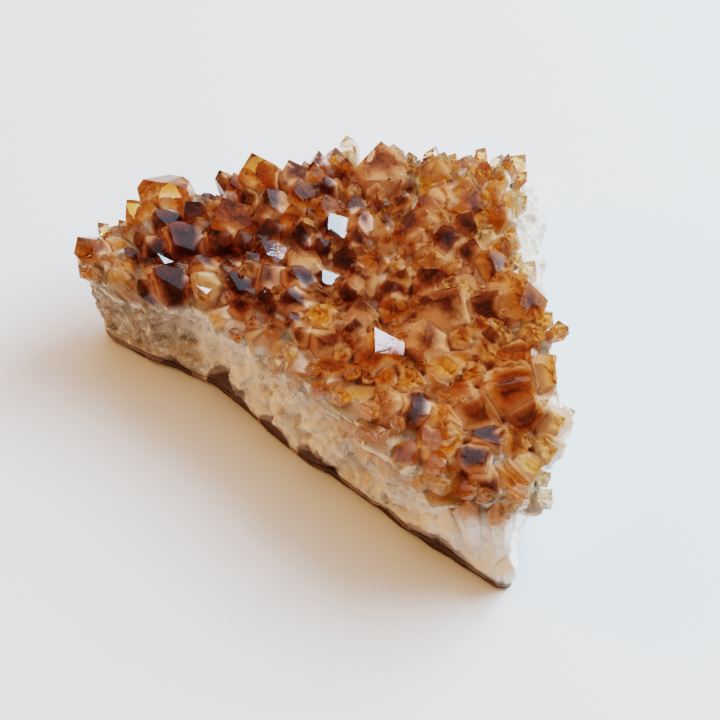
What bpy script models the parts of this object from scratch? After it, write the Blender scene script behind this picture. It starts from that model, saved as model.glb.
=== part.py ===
"""Citrine cluster: a three-cornered slab of milky quartz with a bed of citrine crystals on top and a
thin skin of dark basalt below.

Metres, +Z up. X runs along the long broken front face and Y to the back. The origin is the middle of
the underside's box, so the part rests on Z = 0. Three solids: citrine_crystals, quartz_matrix and
basalt_rind, with a gap of SEAM between neighbours.
"""

import math
import random

import bmesh
import bpy
from mathutils import Vector, noise
from mathutils.bvhtree import BVHTree

MM = 0.001

# Driving dimensions, in millimetres.
SEAM = 0.35  # gap kept between two neighbouring solids
RIND_THICKNESS = 2.2  # skin of basalt under the quartz, away from its edge
RIND_LOBE = 3.2  # most that the skin climbs up the quartz in its lobes
RIND_INSET = 1.4  # how far the flat underside stays inside the skin's edge
BED_HEIGHT = 34.0  # top of the milky quartz in the middle of the bed
CRUST = 2.8  # thickness of the common crust that the crystals share
CRUST_LIP = 0.6  # how far the crust stands proud of the quartz at the rim
BREADTH = 1.15  # a large crystal's width, as a share of the one in its row
ROOT_DEPTH = 3.5  # how far a crystal's axis runs on below the bed
OVERHANG = 1.5  # how far below the bed a crystal at the rim is cut off level
FAN = 0.86  # a root's distance from the middle of the bed, as a share of its tip's
SLOPE = math.radians(51.8)  # between a quartz crystal's axis and the normal of a tip face
CRYSTAL_TRIANGLES = 8100
RIND_TRIANGLES = 520
STATIONS = 64  # points round the outline
SEED = 38

# The outline in plan, from the left front corner along the front: foot, waist and rim at each place,
# then the rim's height.
OUTLINE = (
    ((-68, -38), (-70, -39), (-69, -40), 30),
    ((-51, -37), (-51, -36), (-52, -36), 31),
    ((-31, -31), (-32, -30), (-34, -30), 32),
    ((-11, -31), (-12, -30), (-13, -30), 33),
    ((12, -32), (11, -31), (10, -30), 33),
    ((32, -31), (32, -31), (31, -30), 33),
    ((51, -31), (51, -31), (50, -31), 32),
    ((69, -30), (69, -30), (66, -30), 31),
    ((87, -27), (84, -26), (79, -25), 31),
    ((84, -19), (81, -17), (79, -18), 31),
    ((75, -4), (78, -4), (78, -5), 31),
    ((70, 10), (74, 9), (74, 8), 32),
    ((60, 24), (64, 22), (62, 20), 33),
    ((48, 37), (50, 35), (49, 32), 33),
    ((38, 50), (38, 49), (36, 40), 33),
    ((28, 62), (28, 62), (23, 48), 33),
    ((17, 75), (19, 76), (14, 60), 33),
    ((2, 85), (4, 93), (3, 76), 33),
    ((-12, 76), (-14, 81), (-9, 72), 33),
    ((-24, 58), (-28, 62), (-27, 58), 32),
    ((-38, 40), (-43, 42), (-43, 38), 32),
    ((-50, 18), (-54, 20), (-54, 20), 32),
    ((-58, 0), (-63, 0), (-63, 2), 31),
    ((-64, -16), (-69, -16), (-68, -16), 31),
    ((-67, -28), (-71, -29), (-70, -30), 30),
)
WAIST_HEIGHT = 17.0
UNDERSIDE_SHARE = 0.93  # size of the quartz's flat underside, as a share of the foot's outline
BED_RINGS = (0.82, 0.5, 0.2)  # rings of the bed, as shares of the way from its middle to the rim
BED_LOWEST = 29.0  # a small crystal grows only where the quartz is at least this high
SIDE_HIGHEST = 20.0  # quartz below this is the broken side, where nothing is rooted
MIDDLE = (6, 4)

# The large crystals: tip x, y and z, then the width across the prism. Some have one more flat face,
# given by the azimuth and the tilt from upright of its normal, in degrees, and by how much it cuts off.
CRYSTALS = (
    # left end
    (-70, -40, 43, 9), (-56, -41, 39, 6), (-59, -26, 43, 7.5), (-71, -19, 44, 9),
    (-73, -7, 48, 13, (133, 29, 4.0)), (-61, -17, 44, 9.5), (-52, -19, 46, 11.5), (-55, -26, 43, 7.5),
    (-47, -37, 38, 6), (-43, -33, 43, 10.8, (-50, 60, 2.5)), (-33, -27, 43, 9), (-57, -8, 44, 6.5),
    (-48, 0, 46, 11.7), (-62, 11, 42, 7), (-57, 12, 43, 7), (-54, 18, 49, 12),
    (-46, 26, 46, 9.7), (-52, 24, 42, 5), (-42, -12, 45, 9), (-41, 12, 46, 10),
    (-38, -22, 43, 8), (-25, -20, 43, 9), (-25, -15, 44, 6), (-38, 22, 45, 9),
    # middle of the left half
    (-34, 30, 44, 6), (-20, 19, 45, 9, (26, 26, 2.6)), (-32, 13, 45, 9.6), (-33, 4, 44, 8.5),
    (-17, -1, 45, 9), (-8, 3, 40, 7), (-5, 0, 43, 8, (30, 24, 2.4)), (-19, -12, 45, 10),
    (-12, -7, 46, 9.5), (-7, -14, 44, 11, (-50, 62, 2.5)), (-1, -4, 42, 6), (-27, -5, 44, 9),
    (-25, 10, 44, 8), (-28, 24, 44, 8), (-22, 30, 43, 8), (-8, 12, 43, 9),
    (-10, 30, 44, 9), (-14, 26, 45, 9.3), (0, 16, 44, 8.5), (-18, -25, 41, 7),
    # back corner
    (-44, 51, 42, 6), (-45, 38, 43, 8), (-42, 43, 43, 7), (-29, 50, 48, 15),
    (-29, 57, 43, 7), (-14, 61, 44, 9.6), (-15, 66, 42, 8.5), (-4, 64, 43, 6.5),
    (0, 62, 43, 8.5), (-4, 53, 45, 8.5), (-13, 43, 42, 7), (3, 43, 45, 10.5, (-45, 56, 2.8)),
    (5, 56, 44, 10), (7, 66, 42, 7), (12, 68, 40, 6), (11, 47, 45, 7.5),
    (17, 50, 41, 6), (22, 43, 41, 8), (-2, 37, 45, 10), (13, 37, 46, 10.8, (-40, 30, 1.5)),
    (19, 39, 44, 8.7), (10, 23, 41, 7),
    # middle of the right half
    (4, 6, 46, 10.5), (13, 10, 44, 9.5), (11, 16, 43, 8), (19, 4, 44, 9.5),
    (12, -4, 44, 9.5), (4, -12, 44, 10.5), (8, -9, 41, 5.5), (12, -20, 43, 10, (-45, 58, 2.2)),
    (21, -14, 42, 9), (28, -12, 47, 12.5, (26, 26, 3.6)), (36, 1, 47, 12, (34, 44, 2.6)), (30, 15, 49, 15),
    (20, 21, 45, 9.5), (26, 31, 44, 9.5), (28, 40, 45, 9.5, (35, 46, 2.8)), (38, 41, 40, 7),
    (44, 32, 49, 15), (39, 25, 46, 12), (48, 12, 41, 9), (55, 18, 41, 8),
    # right end
    (61, 13, 45, 14), (66, 3, 47, 16), (66, 17, 42, 10), (47, 2, 41, 9),
    (46, -9, 41, 7), (46, -4, 44, 9), (56, -8, 43, 9), (63, -9, 44, 12.5, (-60, 48, 3.2)),
    (73, 1, 42, 11), (79, 4, 40, 10), (83, -4, 38, 8), (83, -13, 38, 9),
    (76, -12, 42, 8.5), (72, -16, 42, 9.5), (78, -24, 38, 8), (83, -19, 38, 10),
    (86, -22, 34, 6), (50, -20, 44, 9.5, (0, 24, 2.6)), (43, -25, 43, 9.5, (-50, 30, 2.6)),
    (57, -19, 43, 9.5), (60, -20, 41, 7), (63, -26, 42, 12), (72, -22, 42, 8.5),
    # along the front edge
    (49, -33, 36, 9), (56, -32, 38, 7.5), (67, -27, 38, 8), (66, -33, 35, 7),
    (72, -33, 33, 12), (24, -29, 38, 9.5), (33, -26, 40, 9.5), (20, -25, 41, 9),
    (-21, -32, 39, 7.5, (20, 20, 1.6)), (-16, -31, 37, 8), (-8, -30, 38, 9), (3, -29, 38, 7.5),
    (10, -31, 37, 9.5), (5, -22, 42, 7), (-1, -20, 42, 8), (38, -31, 35, 7),
    # out of the right side, below the bed
    (88, -16, 26, 7),
)

# The small crystals between and round them.
FILL_SPACING = 4.6
FILL_WIDTHS = (5.0, 8.0)
FILL_RISE = (7.5, 11.0)
FILL_JITTER = 1.6
FILL_EDGE = 3.0  # least distance from the rim
RIM_WIDTHS = (5.0, 8.5)
RIM_RISE = (3.0, 7.0)
CLEARANCE = 0.5  # least distance from a larger crystal's tip, as a share of its width


def remove_everything():
    for obj in list(bpy.data.objects):
        bpy.data.objects.remove(obj, do_unlink=True)


def material(name, colour, roughness, transmission=0.0):
    new = bpy.data.materials.new(name)
    new.use_nodes = True
    shader = new.node_tree.nodes["Principled BSDF"]
    shader.inputs["Base Color"].default_value = (*colour, 1.0)
    shader.inputs["Roughness"].default_value = roughness
    shader.inputs["Metallic"].default_value = 0.0
    shader.inputs["IOR"].default_value = 1.54
    shader.inputs["Transmission Weight"].default_value = transmission
    return new


def make_object(name, bm, look=None):
    """A new object of this mesh, whose lengths go from millimetres to metres."""
    bmesh.ops.scale(bm, vec=(MM, MM, MM), verts=bm.verts)
    mesh = bpy.data.meshes.new(name)
    bm.to_mesh(mesh)
    bm.free()
    if look:
        mesh.materials.append(look)
    obj = bpy.data.objects.new(name, mesh)
    bpy.context.scene.collection.objects.link(obj)
    return obj


# ---- the outline, and the closed skins lofted round it


def round_curve(points, count):
    """Points at even steps along a closed Catmull-Rom curve."""
    found = []
    size = len(points)
    for step in range(count):
        place = step * size / count
        first = int(place)
        t = place - first
        a, b, c, d = (Vector(points[(first + shift) % size]) for shift in (-1, 0, 1, 2))
        found.append(
            0.5 * (2 * b + (c - a) * t + (2 * a - 5 * b + 4 * c - d) * t**2 + (3 * b - a - 3 * c + d) * t**3)
        )
    return found


def lump(point, size, height):
    """A smooth swelling and hollow of the given height, repeating about every size millimetres."""
    return height * noise.noise(Vector(point) / size)


FOOT = round_curve([row[0] for row in OUTLINE], STATIONS)
WAIST = round_curve([row[1] for row in OUTLINE], STATIONS)
RIM = round_curve([(*row[2], row[3]) for row in OUTLINE], STATIONS)


def outward(station):
    """The level direction away from the slab at this place on its outline."""
    along = WAIST[(station + 1) % STATIONS] - WAIST[station - 1]
    return Vector((along.y, -along.x, 0)).normalized()


def seat(station):
    """Height of the skin's edge, which climbs the quartz in lobes."""
    x, y = FOOT[station]
    lobe = max(0.0, noise.noise(Vector((x / 12, y / 12, 2.5))) + 0.2)
    return RIND_THICKNESS + RIND_LOBE * min(1.0, 1.8 * lobe)


def side_point(station, share, proud=0.0):
    """A point on the broken side, from the foot (share 0) by the waist to the rim (share 1)."""
    foot = FOOT[station].to_3d()
    foot.z = seat(station) + SEAM
    waist = WAIST[station].to_3d()
    waist.z = WAIST_HEIGHT
    rim = RIM[station]
    lower = foot * (1 - share) * (1 - 2 * share) + waist * 4 * share * (1 - share)
    point = lower + rim * share * (2 * share - 1)
    out = outward(station)
    rough = lump(point, 10, 3.0) + lump(point + Vector((50, 0, 0)), 4, 1.8)
    fade = min(1.0, 4 * share)
    return point + out * (rough * fade + proud)


def bed_point(station, share, raised=0.0):
    """A point on the bed, from the rim (share 1) to the middle (share 0)."""
    rim = side_point(station, 1.0)
    middle = Vector((*MIDDLE, BED_HEIGHT))
    point = middle.lerp(rim, share)
    point.z = BED_HEIGHT + (rim.z - BED_HEIGHT) * share**2 + lump(point, 14, 1.8) * (1 - share**4)
    return point + Vector((0, 0, raised))


def loft(rings):
    """A closed skin through the rings, in order upwards, with a flat face across the first of them. It
    ends in the middle point of the last."""
    bm = bmesh.new()
    verts = bmesh.ops.create_circle(bm, segments=STATIONS, radius=1)["verts"]
    for vert, point in zip(verts, rings[0]):
        vert.co = point
    edges = bm.edges[:]
    bmesh.ops.edgeloop_fill(bm, edges=edges)
    middle = sum(rings[-1], Vector()) / STATIONS
    for ring in rings[1:] + [[middle] * STATIONS]:
        grown = bmesh.ops.extrude_edge_only(bm, edges=edges)["geom"]
        edges = [item for item in grown if isinstance(item, bmesh.types.BMEdge)]
        following = {}
        for vert in verts:
            for edge in vert.link_edges:
                other = edge.other_vert(vert)
                if other in grown:
                    following[vert] = other
        verts = [following[vert] for vert in verts]
        for vert, point in zip(verts, ring):
            vert.co = point
    bmesh.ops.pointmerge(bm, verts=verts, merge_co=middle)
    bmesh.ops.triangulate(bm, faces=bm.faces, quad_method="FIXED")
    bmesh.ops.recalc_face_normals(bm, faces=bm.faces)
    return bm


def quartz_skin(grown=0.0):
    """The milky quartz, or the same shape grown outwards by a few tenths of a millimetre."""
    stations = range(STATIONS)
    floor = RIND_THICKNESS + SEAM
    rings = [[FOOT[s].to_3d() * UNDERSIDE_SHARE + Vector((0, 0, floor)) for s in stations]]
    rings += [[side_point(s, share) for s in stations] for share in (0, 0.22, 0.45, 0.7, 0.88, 1)]
    rings += [[bed_point(s, share) for s in stations] for share in BED_RINGS]
    bm = loft(rings)
    if grown:
        bm.normal_update()
        moved = {vert: vert.co + vert.normal * grown * vert.calc_shell_factor() for vert in bm.verts}
        for vert, place in moved.items():
            vert.co = place
    return bm


def rind_skin():
    """The basalt skin: flat below, lobed at its edge, and following the quartz above."""
    stations = range(STATIONS)
    bottom, belly, edge, inner = [], [], [], []
    for s in stations:
        foot = FOOT[s].to_3d()
        out = outward(s)
        ragged = lump(foot, 5, 1.2)
        bottom.append(foot - out * (RIND_INSET + ragged))
        belly.append(foot + out * (0.5 + 0.8 * ragged) + Vector((0, 0, seat(s) * 0.55)))
        edge.append(foot + Vector((0, 0, seat(s))))
        inner.append(foot * UNDERSIDE_SHARE + Vector((0, 0, RIND_THICKNESS)))
    return loft([bottom, belly, edge, inner])


def crust_skin():
    """The crust under the crystals: it covers the bed and folds a few millimetres over the rim."""
    stations = range(STATIONS)
    inside, lip, rim = [], [], []
    for s in stations:
        top = RIM[s]
        drop = 0.93 + 0.12 * noise.noise(Vector((top.x / 11, top.y / 11, 7)))
        lip.append(side_point(s, drop, proud=CRUST_LIP))
        rim.append(side_point(s, 1.0, proud=CRUST_LIP) + Vector((0, 0, 0.4 * CRUST)))
        inside.append(lip[-1].lerp(Vector((*MIDDLE, lip[-1].z - 3)), 0.12))
    rings = [inside, lip, rim]
    rings += [[bed_point(s, share, CRUST) for s in stations] for share in BED_RINGS]
    return loft(rings)


# ---- one crystal


def slice_off(bm, point, normal):
    """Cuts away what lies beyond the plane and closes the cut with one flat face."""
    geom = bm.verts[:] + bm.edges[:] + bm.faces[:]
    cut = bmesh.ops.bisect_plane(bm, geom=geom, plane_co=point, plane_no=normal, clear_outer=True)["geom_cut"]
    edges = [item for item in cut if isinstance(item, bmesh.types.BMEdge)]
    if edges:
        bmesh.ops.edgeloop_fill(bm, edges=edges)


def crystal(width, length, rng):
    """A quartz crystal with its root at the origin and its tip on +Z: six prism faces, which taper a
    little, and three broad and three narrow tip faces."""
    bm = bmesh.new()
    bmesh.ops.create_cube(bm, size=2 * length + 4 * width)
    bmesh.ops.translate(bm, vec=(0, 0, length + 2 * width), verts=bm.verts)
    turn = rng.uniform(0, math.tau)
    for side in range(6):
        angle = turn + side * math.tau / 6
        reach = 0.5 * width * rng.uniform(0.86, 1.08)
        taper = rng.uniform(0.01, 0.05)
        out = Vector((math.cos(angle), math.sin(angle), 0))
        slice_off(bm, out * reach, out + Vector((0, 0, taper)))
    for side in range(6):
        angle = turn + side * math.tau / 6
        broad = side % 2 == 0
        raised = width * (rng.uniform(-0.10, 0.06) if broad else rng.uniform(0.03, 0.46))
        level = math.sin(SLOPE)
        normal = (level * math.cos(angle), level * math.sin(angle), math.cos(SLOPE))
        slice_off(bm, (0, 0, length + raised), normal)
    highest = max(vert.co.z for vert in bm.verts)
    bmesh.ops.translate(bm, vec=(0, 0, length - highest), verts=bm.verts)
    return bm


def cut_face(bm, azimuth, tilt, depth):
    """Cuts one more flat face, this deep below the farthest point towards its normal."""
    azimuth, tilt = math.radians(azimuth), math.radians(tilt)
    level = math.sin(tilt)
    normal = Vector((level * math.cos(azimuth), level * math.sin(azimuth), math.cos(tilt)))
    farthest = max(vert.co.dot(normal) for vert in bm.verts)
    slice_off(bm, normal * (farthest - depth), normal)


def plant(bm, root, tip, width, rng, face=None):
    """Adds a crystal that stands on root and points at tip."""
    axis = tip - root
    single = crystal(width, axis.length, rng)
    matrix = axis.to_track_quat("Z", "Y").to_matrix().to_4x4()
    matrix.translation = root
    bmesh.ops.transform(single, matrix=matrix, verts=single.verts)
    if tip.z > root.z + OVERHANG:
        slice_off(single, (0, 0, root.z + ROOT_DEPTH - OVERHANG), (0, 0, -1))
    if face:
        cut_face(single, *face)
    mesh = bpy.data.meshes.new("single")
    single.to_mesh(mesh)
    single.free()
    bm.from_mesh(mesh)
    bpy.data.meshes.remove(mesh)


# ---- the bed of crystals


def bed_height(bed, x, y):
    """Height of the quartz at this place, or None outside it."""
    place, _, _, _ = bed.ray_cast(Vector((x, y, 200)), Vector((0, 0, -1)))
    return place.z if place else None


def root_of(bed, tip, rng):
    """Where a crystal with this tip starts: below the bed, a little nearer its middle."""
    middle = Vector(MIDDLE)
    share = FAN
    while True:
        x, y = middle.lerp(Vector(tip[:2]), share)
        height = bed_height(bed, x, y)
        if height is not None and height > SIDE_HIGHEST:
            sideways = Vector((rng.uniform(-1.5, 1.5), rng.uniform(-1.5, 1.5), 0))
            return Vector((x, y, height - ROOT_DEPTH)) + sideways
        share -= 0.02


def rim_crystals(rng):
    """Tips and widths of the small crystals that lean out over the rim, wherever there is room."""
    found = []
    for station in range(STATIONS):
        width = rng.uniform(*RIM_WIDTHS)
        tip = side_point(station, 1.0) + outward(station) * rng.uniform(1.0, 3.0)
        tip.z += rng.uniform(*RIM_RISE)
        others = [(Vector(row[:2]), row[3]) for row in CRYSTALS] + [(spot.xy, size) for spot, size in found]
        if all((tip.xy - spot).length > CLEARANCE * (size + width) for spot, size in others):
            found.append((tip, width))
    return found


def small_crystals(bed, rng):
    """Tips and widths of the small crystals, on a jittered grid wherever a large one leaves room."""
    found = []
    taken = [(Vector(row[:2]), row[3]) for row in CRYSTALS]
    cells = [(i, j) for i in range(-20, 21) for j in range(-11, 21)]
    rng.shuffle(cells)
    for i, j in cells:
        x = i * FILL_SPACING + rng.uniform(-FILL_JITTER, FILL_JITTER)
        y = j * FILL_SPACING + rng.uniform(-FILL_JITTER, FILL_JITTER)
        width = rng.uniform(*FILL_WIDTHS)
        rise = rng.uniform(*FILL_RISE)
        place = Vector((x, y))
        height = bed_height(bed, x, y)
        farther = place + (place - Vector(MIDDLE)).normalized() * FILL_EDGE
        edge = bed_height(bed, *farther)
        if height is None or edge is None or min(height, edge) < BED_LOWEST:
            continue
        if all((place - other).length > CLEARANCE * (size + 0.6 * width) for other, size in taken):
            taken.append((place, width))
            found.append((Vector((x, y, height + rise)), width))
    return found


def joined(base, addition, operation):
    """The mesh of base after an exact Boolean with addition; both objects are used up."""
    cut = base.modifiers.new("join", "BOOLEAN")
    cut.operation = operation
    cut.solver = "EXACT"
    cut.use_self = True
    cut.object = addition
    graph = bpy.context.evaluated_depsgraph_get()
    result = bpy.data.meshes.new_from_object(base.evaluated_get(graph))
    bpy.data.objects.remove(addition, do_unlink=True)
    base.modifiers.clear()
    base.data = result
    return base


def tidy_solid(obj, triangles):
    """Drops loose chips, so that one body stays, and thins it to about this many triangles. The thinning
    takes slivers and the bed's underside first, and leaves the crystals' faces flat."""
    bm = bmesh.new()
    bm.from_mesh(obj.data)
    bmesh.ops.dissolve_limit(bm, angle_limit=math.radians(0.3), verts=bm.verts, edges=bm.edges)
    bmesh.ops.remove_doubles(bm, verts=bm.verts, dist=2e-6)
    left = set(bm.verts)
    groups = []
    while left:
        front = [left.pop()]
        group = set(front)
        while front:
            for edge in front.pop().link_edges:
                for vert in edge.verts:
                    if vert in left:
                        left.remove(vert)
                        group.add(vert)
                        front.append(vert)
        groups.append(group)
    groups.sort(key=len)
    chips = [vert for group in groups[:-1] for vert in group]
    bmesh.ops.delete(bm, geom=chips, context="VERTS")
    bmesh.ops.triangulate(bm, faces=bm.faces)
    share = triangles / len(bm.faces)
    bm.to_mesh(obj.data)
    bm.free()
    thin = obj.modifiers.new("thin", "DECIMATE")
    thin.ratio = min(1.0, share)


def citrine_crystals(look):
    rng = random.Random(SEED)
    bed = BVHTree.FromBMesh(quartz_skin())
    crystals = bmesh.new()
    for x, y, z, width, *face in CRYSTALS:
        tip = Vector((x, y, z))
        plant(crystals, root_of(bed, tip, rng), tip, BREADTH * width, rng, *face)
    for tip, width in small_crystals(bed, rng) + rim_crystals(rng):
        plant(crystals, root_of(bed, tip, rng), tip, width, rng)
    crust = make_object("citrine_crystals", crust_skin(), look)
    joined(crust, make_object("crystals", crystals), "UNION")
    joined(crust, make_object("hollow", quartz_skin(grown=SEAM)), "DIFFERENCE")
    tidy_solid(crust, CRYSTAL_TRIANGLES)
    return crust


def basalt_rind(look):
    rind = make_object("basalt_rind", rind_skin(), look)
    joined(rind, make_object("hollow", quartz_skin(grown=SEAM)), "DIFFERENCE")
    tidy_solid(rind, RIND_TRIANGLES)
    return rind


def settle(objects):
    """Moves everything so that the origin is the middle of the underside's box."""
    corners = [vert.co for obj in objects for vert in obj.data.vertices]
    x = (min(c.x for c in corners) + max(c.x for c in corners)) / 2
    y = (min(c.y for c in corners) + max(c.y for c in corners)) / 2
    z = min(c.z for c in corners)
    for obj in objects:
        for vert in obj.data.vertices:
            vert.co -= Vector((x, y, z))


def main():
    remove_everything()
    citrine = material("citrine", (0.62, 0.22, 0.03), 0.08, transmission=0.8)
    quartz = material("milky_quartz", (0.82, 0.76, 0.68), 0.45)
    basalt = material("basalt", (0.16, 0.09, 0.07), 0.85)
    crystals = citrine_crystals(citrine)
    matrix = make_object("quartz_matrix", quartz_skin(), quartz)
    rind = basalt_rind(basalt)
    settle([crystals, matrix, rind])


main()
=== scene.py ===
"""Looks for the citrine cluster: clear crystals with frosted bases, the milky quartz that reaches up into
them, and the basalt skin with its agate band. Metres, +Z up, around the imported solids."""

import math
import random

import bmesh
import bpy
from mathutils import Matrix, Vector, noise
from mathutils.bvhtree import BVHTree
from mathutils.kdtree import KDTree


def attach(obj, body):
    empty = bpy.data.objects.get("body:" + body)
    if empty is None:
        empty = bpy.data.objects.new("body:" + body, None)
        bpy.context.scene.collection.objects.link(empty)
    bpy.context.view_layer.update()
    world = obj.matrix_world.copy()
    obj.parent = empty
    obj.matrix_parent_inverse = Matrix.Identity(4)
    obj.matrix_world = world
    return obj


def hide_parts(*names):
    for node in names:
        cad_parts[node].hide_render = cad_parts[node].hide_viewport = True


bl_info = {
    "name": "Citrine Cluster",
    "version": (1, 0, 0),
    "blender": (4, 5, 0),
    "location": "View3D > Sidebar > Citrine",
    "description": "Dresses the packed citrine cluster with crystal, milky quartz and basalt",
    "category": "Object",
}

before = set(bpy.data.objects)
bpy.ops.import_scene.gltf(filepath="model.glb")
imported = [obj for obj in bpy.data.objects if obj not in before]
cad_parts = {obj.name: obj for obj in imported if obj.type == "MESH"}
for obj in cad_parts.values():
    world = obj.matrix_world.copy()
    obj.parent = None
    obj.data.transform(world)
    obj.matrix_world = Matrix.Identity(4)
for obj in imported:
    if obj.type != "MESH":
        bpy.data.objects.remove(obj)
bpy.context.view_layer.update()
MM = 0.001

# The bed's own frame, in millimetres: X along the front, Y to the back. Its origin in the row frame:
BED_ORIGIN = Vector((-6.1, -24.0, 0.0))
BED_MIDDLE = Vector((6.0, 4.0, 31.0))  # what the crystals fan out from

# What the crystals look like: how dark the tip is, how golden and not red the colour is, how frosted and
# milky the base is, and how far the colour has faded.
CHARACTERS = {
    "smoky": (0.95, 0.25, 0.12, 0.0),
    "frosted_smoky": (0.88, 0.12, 0.7, 0.0),
    "amber": (0.55, 0.5, 0.15, 0.0),
    "peach": (0.6, 0.3, 0.9, 0.0),
    "warm_peach": (0.42, 0.4, 1.0, 0.0),
    "pale_peach": (0.25, 0.45, 1.0, 0.1),
    "golden": (0.25, 0.9, 0.2, 0.05),
    "honey": (0.12, 0.95, 0.6, 0.3),
    "water_clear": (0.0, 1.0, 0.35, 0.9),
    "pale": (0.0, 0.75, 1.0, 0.6),
    "crust": (0.0, 0.7, 1.0, 0.25),
    "golden_column": (0.1, 0.8, 0.9, 0.1),
}

# The crystals with a marked character, by the place of the tip in the bed's frame.
MARKED = {
    "smoky": (
        (-61, -17), (-55, -26), (-57, -8), (-33, 4), (-20, 19), (-8, 3), (-5, 0), (-25, -20), (13, 37),
        (19, 39), (13, 10), (20, 21), (46, -9), (47, 2), (11, 47), (-42, -12), (-62, 11), (-27, -5),
    ),
    "frosted_smoky": (
        (-47, -37), (-43, -33), (-34, 30), (-12, -7), (-7, -14), (50, -20), (72, -16), (72, -22), (-52, -19),
    ),
    "amber": (
        (-70, -40), (-48, 0), (-54, 18), (-32, 13), (-2, 37), (0, 16), (19, 4), (44, 32), (48, 12),
        (61, 13), (66, 3), (56, -32), (28, 40), (5, 56), (76, -12), (-38, 22), (-28, 24),
    ),
    "peach": (
        (-46, 26), (-19, -12), (-14, 26), (4, 6), (26, 31), (30, 15), (39, 25), (12, -20),
        (28, -12), (36, 1), (66, -33), (78, -24), (-59, -26), (12, -4), (-38, -22), (-25, -15),
    ),
    "warm_peach": ((-28, 49), (-24, 43), (50, 3), (60, -4)),
    "pale_peach": ((-17, -1), (3, 43), (49, -33), (10, -31), (-4, 53), (43, -25), (63, -9)),
    "golden": (
        (-71, -19), (-73, -7), (-14, 61), (22, 43), (7, 66), (12, 68), (10, 23), (21, -14), (73, 1),
        (67, -27), (63, -26), (4, -12), (46, -4), (0, 62), (-15, 66), (55, 18),
    ),
    "honey": (
        (-56, -41), (-33, -27), (79, 4), (83, -4), (83, -13), (83, -19), (72, -33), (24, -29),
        (-21, -32), (-16, -31), (-8, -30), (3, -29), (33, -26), (17, 50),
    ),
    "water_clear": ((88, -16),),
    "pale": ((-44, 51), (-41, 54)),
}
MARK_REACH = 5.0  # millimetres from a marked place within which a crystal takes its character
# Height of the dark basalt along the front, in millimetres: (place along X, top of the basalt).
BASALT_TOPS = (
    (-46, 0.4), (-43.5, 3.6), (-40, 5.6), (-37, 5.2), (-34.5, 3.0), (-33, 0.2), (-28.5, 0.2), (-27, 5.8),
    (-22, 9.0), (-18.5, 10.6), (-13.5, 8.4), (-9, 4.6), (-6.5, 1.0), (-4.5, 0.4), (-3.5, 4.6), (-1, 5.8),
    (5, 7.0), (8, 4.4), (9.5, 0.3), (12, 0.4), (13.5, 4.8), (16.5, 6.2), (23, 7.6), (27, 5.6), (29, 1.6),
    (34, 1.8), (40, 2.0), (50, 1.6), (54, 2.2), (58, 4.4), (65, 7.0), (70, 6.2), (74, 3.6), (78, 2.2),
    (86, 1.6),
)

# Crystals at the right end of the front: (foot, tip, half width, character), in the bed's frame.
COLUMNS = (((67.0, -26.4, 22), (65.4, -30.6, 36.4), 4.9, "golden_column"),)
MILKY_COLUMNS = (
    ((76.8, -25.6, 5.4), (72.6, -30.0, 33.5), 4.6),
    ((83.0, -23.6, 8), (80.2, -25.6, 33.0), 4.4),
    ((70.5, -27.6, 6), (68.4, -30.4, 21.0), 3.8),
    ((86.0, -25.4, 5.4), (85.6, -26.6, 15.0), 3.6),
)

MERGE = 1e-6  # metres within which two corners are one
# What is drawn at random, and the seed it is drawn from, so that each run makes the same piece.
SEEDS = {"natures": 7, "small crystals": 11, "facets": 3, "columns": 5, "fracture": 1795472438}
SHARP_EDGE = math.radians(18)  # an edge that turns more than this is bevelled; the bevel is worn and partly painted as a highlight
FLAT = math.radians(2)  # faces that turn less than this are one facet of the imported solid
FLAT_UNION = math.radians(1)  # the same after the small crystals are joined on
QUARTZ_IOR = 1.54
HOLLOW = 0.12  # radians by which two faces bend inwards where two crystals meet
DEEP = -0.5  # radians; the turn of a valley deep enough for a small crystal
RIM_WIDTH = 4.5  # millimetres over which the crystals fade to milky quartz at the rim
CHIP = 12.0  # square millimetres; a smaller crystal looks like the largest beside it
LARGE = 60.0  # square millimetres; a larger crystal has a marked character or that of its region
CRUST_GAP, RIM_GAP, VALLEY_GAP = 5.2, 7.5, 6.0  # millimetres kept between small crystals
CRUST_PATCH = 20.0  # square millimetres of crust for each two small crystals tried
VALLEY_SHARE = 0.13  # of the deep valleys that hold a small crystal
SMALLEST_SHELL = 60  # faces; a loose shell of fewer is a crumb
CRUST_HEIGHT = 37.6  # millimetres; what doesn't reach this high is the crust between the crystals


def bed(x, y, z=0.0):
    """A place in the row frame, in metres, from its place in the bed's frame, in millimetres."""
    return (BED_ORIGIN + Vector((x, y, z))) * MM


# ---- settings that a user would change


class CitrineSettings(bpy.types.PropertyGroup):
    """Sizes and colours of the crystals."""

    tip: bpy.props.FloatVectorProperty(
        name="Tip", description="Smoky red-brown of the tips", subtype="COLOR", default=(0.070, 0.011, 0.006)
    )
    body: bpy.props.FloatVectorProperty(
        name="Body", description="Amber of the bodies", subtype="COLOR", default=(0.52, 0.115, 0.020)
    )
    gold: bpy.props.FloatVectorProperty(
        name="Gold", description="Colour of the golden crystals", subtype="COLOR", default=(0.74, 0.31, 0.035)
    )
    base: bpy.props.FloatVectorProperty(
        name="Base", description="Peach of the frosted bases", subtype="COLOR", default=(0.93, 0.56, 0.34)
    )
    bevel: bpy.props.FloatProperty(
        name="Edge", description="Width of the worn edges", unit="LENGTH", default=0.32 * MM
    )
    skin_grain: bpy.props.FloatProperty(
        name="Skin grain", description="Longest edge of the clear facets", unit="LENGTH", default=1.6 * MM
    )
    core_grain: bpy.props.FloatProperty(
        name="Core grain", description="Longest edge of the frosted cores", unit="LENGTH", default=1.35 * MM
    )


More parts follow.
